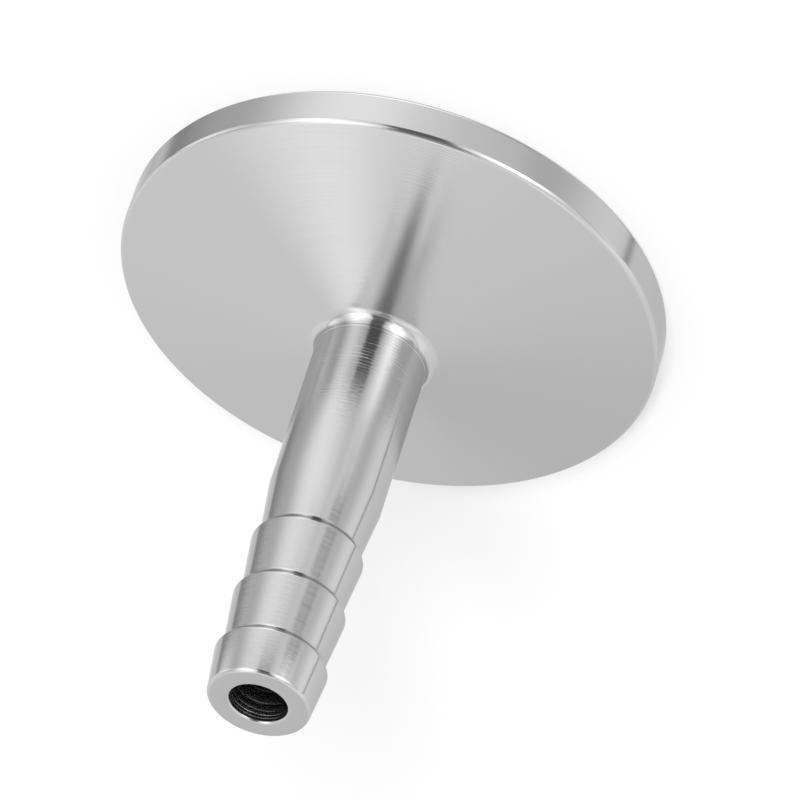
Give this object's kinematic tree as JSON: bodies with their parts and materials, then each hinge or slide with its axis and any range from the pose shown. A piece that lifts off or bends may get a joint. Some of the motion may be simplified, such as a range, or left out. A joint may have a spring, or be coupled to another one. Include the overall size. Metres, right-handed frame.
{
  "type": "hose barb adapter",
  "caption": "Turned stainless steel vacuum adapter: a thin clamp flange with a conical back, and a straight stem that ends in a barbed hose tail, bored right through.",
  "frame": {"origin": "centre of the sealing face, on the bore's axis", "axes": "+Z along the bore's axis, from the sealing face towards the barbed tip; X and Y are any two directions across it, because the body is round"},
  "size_m": [0.04, 0.04, 0.0396],
  "materials": {
    "stainless_steel": "bright fine-turned stainless steel"
  },
  "bodies": {
    "root": {"adapter_body": "stainless_steel"}
  },
  "joints": []
}
